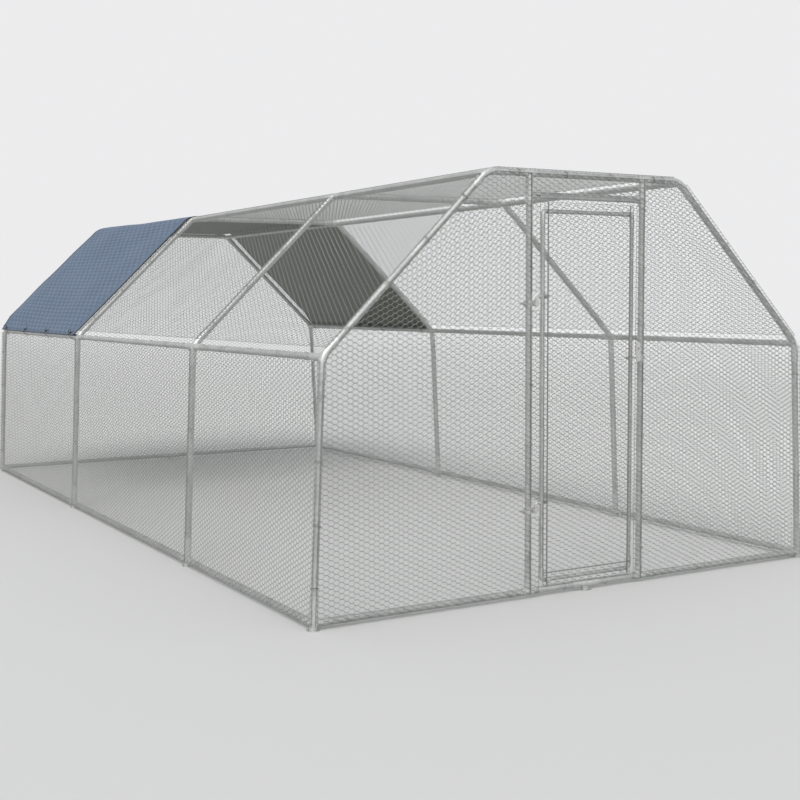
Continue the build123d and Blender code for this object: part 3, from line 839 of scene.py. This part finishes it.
def make_nets():
    """Netting on every panel, in bays along the coop, and on the strips beside the door."""
    tree = net_tree()
    net_depth = panel_of("left_wall_net", lengthwise)[1]
    cell = new_object("wire_cell", wire_cell(net_depth))
    borders = [middle(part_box(node)).y for node in ("second_top_bar", "third_top_bar")]
    strips = ("left_wall", "left_roof", "top", "right_roof", "right_wall")
    panels = {name: "frame" for name in ("front_left", "front_right", "front_top", "rear")}
    panels["door"] = "door"
    jobs = []
    for name in strips:
        place, depth, outline = panel_of(name + "_net", lengthwise)
        for bay, part in bays_of(outline, borders):
            jobs.append((f"{name}_netting_{bay}", name + "_net", "frame", place, depth, part))
    for name, body in panels.items():
        place, depth, outline = panel_of(name + "_net", crosswise)
        jobs.append((name + "_netting", name + "_net", body, place, depth, outline))
    place, depth = panel_of("front_left_net", crosswise)[:2]
    for name, outline in gap_strips():
        jobs.append((name, None, "frame", place, depth, outline))
    for name, node, body, place, depth, outline in jobs:
        points = [(x, y, 0) for x, y in outline]
        flat = mesh_of(name + "_outline", points, [range(len(outline))])
        settings = {
            "Cell": cell, "Row": mesh_row, "Column": mesh_column, "Depth": depth,
            "Sway": net_sway, "Selvage": selvage_radius, "Wire": finishes["net_wire"],
        }
        net = new_piece(name, grown(name, flat, tree, settings, place), body)
        if node:
            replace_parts(net, node)
    remove(cell)


def make_line_wires():
    """Straight wires on the door's netting, beside its upright edges and above its foot."""
    place, depth, outline = panel_of("door_net", crosswise)
    low, high = reach_of(outline)
    left, right = low.x + line_wire_inset, high.x - line_wire_inset
    foot = low.y + foot_wire_rise
    lift = depth / 2 + line_wire_radius - selvage_radius
    shape = bmesh.new()
    for ends in (
        [(left, low.y), (left, high.y)],
        [(right, low.y), (right, high.y)],
        [(low.x, foot), (high.x, foot)],
    ):
        start, end = [Vector((x, y, lift)) for x, y in ends]
        way = end - start
        turn = way.to_track_quat("Z", "Y").to_matrix().to_4x4()
        centred = place @ Matrix.Translation((start + end) / 2) @ turn
        add_rod(shape, line_wire_sides, line_wire_radius, way.length, centred)
    made = mesh_from(shape, "door_line_wires")
    made.materials.append(finishes["net_wire"])
    new_piece("door_line_wires", made, "door")


make_nets()
make_line_wires()


# Wire ties between the netting and the tubes


def tie_loop():
    """A tie on a tube along Z with the netting on its +X side: a loop of wire and its twisted end."""
    points = []
    for i in range(tie_steps):
        turn = 2 * pi * i / tie_steps
        reach = tie_reach + (tie_bulge - tie_reach) * max(0.0, cos(turn)) ** 2
        for j in range(tie_sides):
            tilt = 2 * pi * j / tie_sides
            radius = reach + tie_wire * cos(tilt)
            points.append((radius * cos(turn), radius * sin(turn), tie_wire * sin(tilt)))
    faces = ring_faces(tie_steps, tie_sides)
    start = len(points)
    for i in range(tail_steps):
        drop = tail_length * (1 - i / (tail_steps - 1))
        reach = tie_reach + 2 * tie_wire + tail_splay * drop
        for j in range(tail_corners):
            tilt = 2 * pi * j / tail_corners + tail_twist * i
            thick = tie_wire * (tail_flatness if j % 2 else 1.0)
            x = reach * cos(tail_place) + thick * cos(tilt)
            y = reach * sin(tail_place) + thick * sin(tilt)
            points.append((x, y, -drop))
            here = start + i * tail_corners
            there = here + tail_corners
            up = (j + 1) % tail_corners
            if i + 1 < tail_steps:
                faces.append((here + j, here + up, there + up, there + j))
    faces.append([start + j for j in reversed(range(tail_corners))])
    faces.append([start + (tail_steps - 1) * tail_corners + j for j in range(tail_corners)])
    return mesh_of("wire_tie", points, faces)


def tie_tree():
    """Sets ties along the edges of a mesh, each turned to the netting's side and fitted to its tube."""
    tree, given = new_tree(
        "wire_ties",
        {
            "Tie": "Object", "Tube": "Float", "Spacing": "Float", "Uneven": "Float",
            "Seed": "Int", "Wire": "Material",
        },
    )
    runs = add_node(tree, "GeometryNodeMeshToCurve", None, {0: given["Geometry"]})
    spaced = {"Curve": runs, "Length": given["Spacing"]}
    runs = add_node(tree, "GeometryNodeResampleCurve", {"mode": "LENGTH"}, spaced)
    tangent = add_node(tree, "GeometryNodeInputTangent")
    chance = {2: -1.0, 3: 1.0, "Seed": given["Seed"]}
    random = add_node(tree, "FunctionNodeRandomValue", {"data_type": "FLOAT"}, chance, 1)
    along = {0: tangent, "Scale": random * given["Uneven"]}
    shift = add_node(tree, "ShaderNodeVectorMath", {"operation": "SCALE"}, along)
    runs = add_node(tree, "GeometryNodeSetPosition", None, {"Geometry": runs, "Offset": shift})
    named = {"data_type": "FLOAT_VECTOR"}
    outward = add_node(tree, "GeometryNodeInputNamedAttribute", named, {"Name": "outward"})
    girth = add_node(tree, "GeometryNodeInputNamedAttribute", {"data_type": "FLOAT"}, {"Name": "girth"})
    axes = {"primary_axis": "Z", "secondary_axis": "X"}
    facing = {"Primary Axis": tangent, "Secondary Axis": outward}
    turned = add_node(tree, "FunctionNodeAxesToRotation", axes, facing)
    tie = add_node(tree, "GeometryNodeObjectInfo", None, {"Object": given["Tie"]}, "Geometry")
    placed = {"Points": runs, "Instance": tie, "Rotation": turned, "Scale": girth / given["Tube"]}
    ties = add_node(tree, "GeometryNodeInstanceOnPoints", None, placed)
    end_tree(tree, ties, given["Wire"])
    return tree


def tube_run(corners):
    """The two ends of a straight tube's axis, the lower or nearer one first, and its radius."""
    cloud = np.array(corners)
    way = np.linalg.svd(cloud - cloud.mean(axis=0), full_matrices=False)[2][0]
    if way @ end_order < 0:
        way = -way
    reaches = cloud @ way
    first_ring = cloud[reaches < reaches.min() + tube_end]
    last_ring = cloud[reaches > reaches.max() - tube_end]
    start = first_ring.mean(axis=0)
    radius = np.linalg.norm(first_ring - start, axis=1).max()
    return Vector(start), Vector(last_ring.mean(axis=0)), float(radius)


def netting_sides():
    """The nodes whose tubes carry netting, with the direction of that netting on each side."""
    walls = [net_outward(f"{side}_wall_net") for side in ("left", "right")]
    slopes = [net_outward(f"{side}_roof_net") for side in ("left", "right")]
    arches = ("front", "second", "third", "rear")
    for arch in arches:
        yield f"{arch}_arch_legs", "frame", walls
    for side in ("left", "right"):
        yield f"{side}_eave_rails", "frame", walls
        yield f"{side}_ground_rails", "frame", walls
    for arch in arches[:3]:
        yield f"{arch}_arch_rafters", "frame", slopes
        yield f"{arch}_top_bar", "frame", [upward, upward]
    for arch, out in (("front", doorward), ("rear", lengthwise)):
        for part in ("arch_legs", "arch_rafters", "top_bar", "ground_rails"):
            yield f"{arch}_{part}", "frame", [out, out]
    for node in ("left_door_post", "right_door_post", "door_lintel"):
        yield node, "frame", [doorward, doorward]
    for node in ("door_hinge_stile", "door_latch_stile", "door_top_rail", "door_bottom_rail"):
        yield node, "door", [doorward, doorward]


def make_wire_ties():
    """Ties along every tube that carries netting, one piece for each body."""
    tree = tie_tree()
    tie = new_object("wire_tie", tie_loop())
    for body in ("frame", "door"):
        points = []
        edges = []
        outwards = []
        girths = []
        for node, owner, sides in netting_sides():
            if owner != body:
                continue
            for corners in islands(node):
                start, end, radius = tube_run(corners)
                along = (end - start).normalized() * tie_margin
                edges.append((len(points), len(points) + 1))
                points += [start + along, end - along]
                outwards += [sides[0] if start.x + end.x < 0 else sides[1]] * 2
                girths += [radius] * 2
        name = f"{body}_netting_ties"
        runs = mesh_of(name + "_runs", points, [], edges)
        facing = runs.attributes.new("outward", "FLOAT_VECTOR", "POINT")
        facing.data.foreach_set("vector", np.array(outwards).ravel())
        girth = runs.attributes.new("girth", "FLOAT", "POINT")
        girth.data.foreach_set("value", np.array(girths))
        settings = {
            "Tie": tie, "Tube": tie_tube, "Spacing": tie_spacing, "Uneven": tie_uneven,
            "Seed": tie_seed, "Wire": finishes["net_wire"],
        }
        new_piece(name, grown(name, runs, tree, settings), body)
    remove(tie)


make_wire_ties()


# Cover cloth over the rear bay


class CoverSection:
    """The run of the cloth across the coop, from the left eave over the top to the right eave."""

    def __init__(self):
        low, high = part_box("roof_cover")
        self.out = net_outward("left_roof_net")
        self.up = Vector((self.out.z, 0, -self.out.x)).normalized()
        self.top = high.z - solid_cover + cloth_thickness
        self.edge = Vector((low.x, 0, low.z))
        turn = upward.angle(self.out)
        corner_rise = (self.top - self.edge.z) / self.up.z
        corner = self.edge + self.up * corner_rise
        tangent = cover_bend * tan(turn / 2)
        self.slope = corner_rise - tangent
        self.arc = cover_bend * turn
        self.half = self.slope + self.arc - corner.x - tangent
        self.length = 2 * self.half

    def at(self, run):
        """The point and the outward direction at a run from the left edge."""
        side = 1
        if run > self.half:
            run = self.length - run
            side = -1
        if run < self.slope:
            point, out = self.edge + self.up * run, self.out
        elif run < self.slope + self.arc:
            angle = (run - self.slope) / cover_bend
            centre = self.edge + self.up * self.slope - self.out * cover_bend
            out = Matrix.Rotation(angle, 3, "Y") @ self.out
            point = centre + out * cover_bend
        else:
            out = upward
            point = Vector((run - self.half, 0, self.top))
        return Vector((side * point.x, 0, point.z)), Vector((side * out.x, 0, out.z))


def steps_between(low, high, step):
    count = max(1, round((high - low) / step))
    return [low + (high - low) * i / count for i in range(count)]


def cloth_lines(length):
    """Grid lines across a run of cloth, close together where the hem ends."""
    lines = [0.0]
    lines += steps_between(hem_width / 3, hem_width, hem_width / 3)
    lines += [hem_width, hem_width + hem_step]
    lines += steps_between(hem_width + cloth_step, length - hem_width - cloth_step, cloth_step)
    lines += [length - hem_width - cloth_step, length - hem_width - hem_step, length - hem_width]
    lines += steps_between(length - hem_width * 2 / 3, length, hem_width / 3)
    return lines + [length]


def is_hem(run, along, section, width):
    return min(run, section.length - run, along, width - along) <= hem_width


def slow_noise(run, along, waves, layer):
    """Noise over the cloth, about 0 to 1."""
    return noise.noise(Vector((run * waves[0], along * waves[1], layer))) * 0.5 + 0.5


def cloth_lift(run, along, section, width, eyelet_places):
    """How far the cloth stands off the netting: slack, puckers at the eyelets, loose rear end, hem."""
    from_edge = min(run, section.length - run)
    slack = slow_noise(run, along, slack_waves, slack_layer)
    slack *= sin(pi * along / width) ** 0.5 if 0 < along < width else 0
    lift = slack_height * slack * min(1, from_edge / slack_edge)
    lift += crinkle_height * slow_noise(run, along, crinkle_waves, crinkle_layer)
    nearest = min(abs(along - place) for place in eyelet_places)
    fold = 0.5 - 0.5 * cos(2 * pi * nearest / pucker_wave)
    lift += pucker_height * fold * exp(-from_edge / pucker_rise) * exp(-nearest / pucker_spread)
    ripple = 1 + rear_ripple * noise.noise(Vector((run * ripple_waves, *ripple_layer)))
    loose = exp(-((width - along) / rear_lift_reach) ** 2) * min(1, from_edge / rear_lift_eave)
    lift += rear_lift * ripple * loose
    if is_hem(run, along, section, width):
        lift += hem_lift
    return lift


def side_of(point):
    return -1 if point.x < 0 else 1


def slope_outward(point):
    """The outward direction of the roof slope on a point's side of the coop."""
    out = net_outward("left_roof_net")
    return Vector((side_of(point) * abs(out.x), 0, out.z))


def cover_eyelets():
    """The middle of each eyelet, with the outward direction of the cloth there."""
    centres = [middle(corners) for corners in islands("cover_eyelets")]
    return [(centre, slope_outward(centre)) for centre in centres]


def eyelet_cutters(eyelets):
    shape = bmesh.new()
    for centre, out in eyelets:
        place = frame_on(centre, out, lengthwise)
        add_rod(shape, hole_sides, eyelet_bore * hole_room, hole_depth, place)
    return mesh_from(shape, "eyelet_holes")


def make_cover():
    """The cloth, a closed sheet with a doubled hem and holes; gives it with its flat length and width."""
    section = CoverSection()
    low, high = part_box("roof_cover")
    width = high.y - low.y
    eyelets = cover_eyelets()
    eyelet_places = sorted({round(centre.y - low.y, 4) for centre, out in eyelets})
    runs = cloth_lines(section.length)
    alongs = cloth_lines(width)
    points = []
    flats = []
    for inner in (False, True):
        for run in runs:
            point, out = section.at(run)
            for along in alongs:
                lift = cloth_lift(run, along, section, width, eyelet_places)
                if inner:
                    lift -= cloth_thickness + (hem_lift if is_hem(run, along, section, width) else 0)
                points.append(Vector((point.x, low.y + along, point.z)) + out * lift)
                flats.append((run, along))
    wide = len(alongs)
    side = len(runs) * wide
    faces = []
    for i in range(len(runs) - 1):
        for j in range(wide - 1):
            corner = i * wide + j
            outer = [corner, corner + 1, corner + wide + 1, corner + wide]
            faces.append(outer)
            faces.append([index + side for index in reversed(outer)])
    both_sides = len(faces)
    rim = list(range(wide))
    rim += [i * wide + wide - 1 for i in range(1, len(runs))]
    rim += [(len(runs) - 1) * wide + j for j in range(wide - 2, -1, -1)]
    rim += [i * wide for i in range(len(runs) - 2, 0, -1)]
    for k, index in enumerate(rim):
        following = rim[(k + 1) % len(rim)]
        faces.append([following, index, index + side, following + side])
    mesh = mesh_of("cover_cloth", points, faces)
    flat_map = mesh.uv_layers.new(name="flat")
    edge_map = mesh.uv_layers.new(name="edge")
    for loop in mesh.loops:
        run, along = flats[loop.vertex_index]
        flat_map.data[loop.index].uv = (run, along)
        edge_map.data[loop.index].uv = (min(run, section.length - run), min(along, width - along))
    mesh.materials.append(finishes["cover_cloth"])
    mesh.materials.append(cloth_inside)
    for face in mesh.polygons:
        face.use_smooth = True
        face.material_index = 1 if face.index < both_sides and face.index % 2 else 0
    cloth = new_object("roof_cover_cloth", mesh)
    cutter = new_object("eyelet_holes", eyelet_cutters(eyelets))
    cut = cloth.modifiers.new("eyelet_holes", "BOOLEAN")
    cut.object = cutter
    cut.operation = "DIFFERENCE"
    finished = plain_mesh(cloth, cut)
    remove(cutter)
    cover = new_piece("roof_cover_cloth", finished, "frame")
    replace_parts(cover, "roof_cover")
    return cover, section.length, width


def make_eyelets():
    """Rolled rings set in the hem."""
    ring_radius = (eyelet_radius + eyelet_bore) / 2
    roll_half = (eyelet_radius - eyelet_bore) / 2 + eyelet_lap
    points = []
    for i in range(eyelet_steps):
        turn = 2 * pi * i / eyelet_steps
        for j in range(eyelet_sides):
            tilt = 2 * pi * j / eyelet_sides
            reach = ring_radius + roll_half * cos(tilt)
            points.append((reach * cos(turn), reach * sin(turn), eyelet_roll * sin(tilt)))
    ring = mesh_of("eyelet_ring", points, ring_faces(eyelet_steps, eyelet_sides))
    shape = bmesh.new()
    for centre, out in cover_eyelets():
        one = ring.copy()
        one.transform(frame_on(centre, out, lengthwise))
        shape.from_mesh(one)
    for face in shape.faces:
        face.smooth = True
    made = mesh_from(shape, "cover_eyelet_rings")
    made.materials.append(finishes["eyelet_brass"])
    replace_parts(new_piece("cover_eyelet_rings", made, "frame"), "cover_eyelets")


def ribbon(line, flats, closed):
    """A flat band along a line; flats are the directions that its outer face looks in."""
    points = []
    count = len(line)
    for i, (place, flat) in enumerate(zip(line, flats)):
        before = line[i - 1] if closed or i else place
        after = line[(i + 1) % count] if closed or i + 1 < count else place
        sideways = (after - before).cross(flat).normalized() * band_width / 2
        raised = flat * band_thickness / 2
        points += [place - sideways - raised, place + sideways - raised]
        points += [place + sideways + raised, place - sideways + raised]
    faces = ring_faces(count, 4)
    if not closed:
        last = 4 * (count - 1)
        faces[last:] = [(0, 1, 2, 3), (last + 3, last + 2, last + 1, last)]
    return mesh_of("band", points, faces)


def tie_band(half_out, half_up):
    """The loop of a cable tie, a rounded rectangle in the plane of X, up the slope, and Z, outwards."""
    line = []
    flats = []
    bend = band_corner - band_thickness / 2
    reach_x = half_up - band_corner
    reach_z = half_out - band_corner
    for corner, (side_x, side_z) in enumerate(((1, 1), (-1, 1), (-1, -1), (1, -1))):
        for step in range(band_corner_steps + 1):
            turn = pi / 2 * (corner + step / band_corner_steps)
            flat = Vector((cos(turn), 0, sin(turn)))
            line.append(Vector((side_x * reach_x, 0, side_z * reach_z)) + flat * bend)
            flats.append(flat)
    return ribbon(line, flats, True)


def tie_loose_end(start, swing, curl):
    """The end of the band past the head: it curls up off the cloth and swings to one side."""
    line = []
    flats = []
    place = start.copy()
    last = loose_end_steps - 1
    for i in range(loose_end_steps):
        rise = loose_end_rise + curl * i / last
        turn = swing * i / last
        way = Vector((cos(rise) * cos(turn), cos(rise) * sin(turn), sin(rise)))
        line.append(place.copy())
        flats.append(Vector((-sin(rise) * cos(turn), -sin(rise) * sin(turn), cos(rise))))
        place += way * loose_end / last
    return ribbon(line, flats, False)


def tie_head(place):
    """The catch that the band is pulled through."""
    shape = bmesh.new()
    sizes = Matrix.Diagonal((*head_size, 1))
    bmesh.ops.create_cube(shape, size=1, matrix=Matrix.Translation(place) @ sizes)
    bmesh.ops.bevel(
        shape, geom=shape.edges[:], offset=head_bevel, segments=head_bevel_steps, profile=0.5,
        affect="EDGES",
    )
    return mesh_from(shape, "tie_head")


def make_cable_ties():
    """A black tie through each eyelet and round the eave rail."""
    shape = bmesh.new()
    for i, corners in enumerate(sorted(islands("cover_ties"), key=lambda found: tuple(middle(found)))):
        centre = middle(corners)
        side = side_of(centre)
        out = slope_outward(centre)
        up = Vector((-side * out.z, 0, side * out.x))
        half_out = max((corner - centre).dot(out) for corner in corners)
        half_up = max((corner - centre).dot(up) for corner in corners)
        head = Vector((0, 0, half_out + head_size.z / 2 - 2 * band_thickness))
        tail = head + Vector((head_size.x / 2 - head_bevel, 0, 0))
        swing = swing_reach * sin(swing_step * i + swing_start)
        curl = loose_end_curls[i % len(loose_end_curls)]
        for made in (tie_band(half_out, half_up), tie_head(head), tie_loose_end(tail, swing, curl)):
            made.transform(frame_on(centre, out, up))
            shape.from_mesh(made)
    made = mesh_from(shape, "cover_cable_ties")
    made.materials.append(finishes["tie_rubber"])
    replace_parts(new_piece("cover_cable_ties", made, "frame"), "cover_ties")


cover_cloth, cover_run, cover_width = make_cover()
make_eyelets()
make_cable_ties()


# Studio: floor, light and camera


def make_floor():
    turns = [2 * pi * i / floor_sides for i in range(floor_sides)]
    corners = [(floor_reach * cos(turn), floor_reach * sin(turn), 0) for turn in turns]
    mesh = mesh_of("floor", corners, [range(floor_sides)])
    mesh.materials.append(floor_finish())
    new_object("floor", mesh)


def make_world():
    world = bpy.data.worlds.new("studio")
    world.use_nodes = True
    tree = world.node_tree
    tree.nodes.clear()
    sky = {"Color": colour(*sky_shade), "Strength": sky_strength}
    light = add_node(tree, "ShaderNodeBackground", None, sky)
    plain = {"Color": colour(*backdrop_shade), "Strength": 1.0}
    backdrop = add_node(tree, "ShaderNodeBackground", None, plain)
    both = add_node(
        tree, "ShaderNodeMixShader", None, {0: seen_directly(tree), 1: light, 2: backdrop}
    )
    add_node(tree, "ShaderNodeOutputWorld", None, {"Surface": both})
    scene.world = world


def make_key_light():
    lamp = bpy.data.lights.new("key", "SUN")
    lamp.energy = key_strength
    lamp.angle = key_spread
    lamp.color = key_shade
    key = new_object("key", lamp)
    key.rotation_euler = key_direction.to_track_quat("-Z", "Y").to_euler()


def make_camera():
    lens = bpy.data.cameras.new("camera")
    lens.sensor_width = sensor_width
    lens.lens = focal_pixels * sensor_width / image_side
    lens.clip_end = camera_far
    camera = new_object("camera", lens)
    turn = Matrix.Rotation(-camera_heading, 4, "Z") @ Matrix.Rotation(pi / 2 + camera_tilt, 4, "X")
    camera.matrix_world = Matrix.Translation(camera_place) @ turn @ Matrix.Rotation(camera_roll, 4, "Z")
    scene.camera = camera


make_floor()
make_world()
make_key_light()
make_camera()
scene.view_settings.view_transform = "Standard"
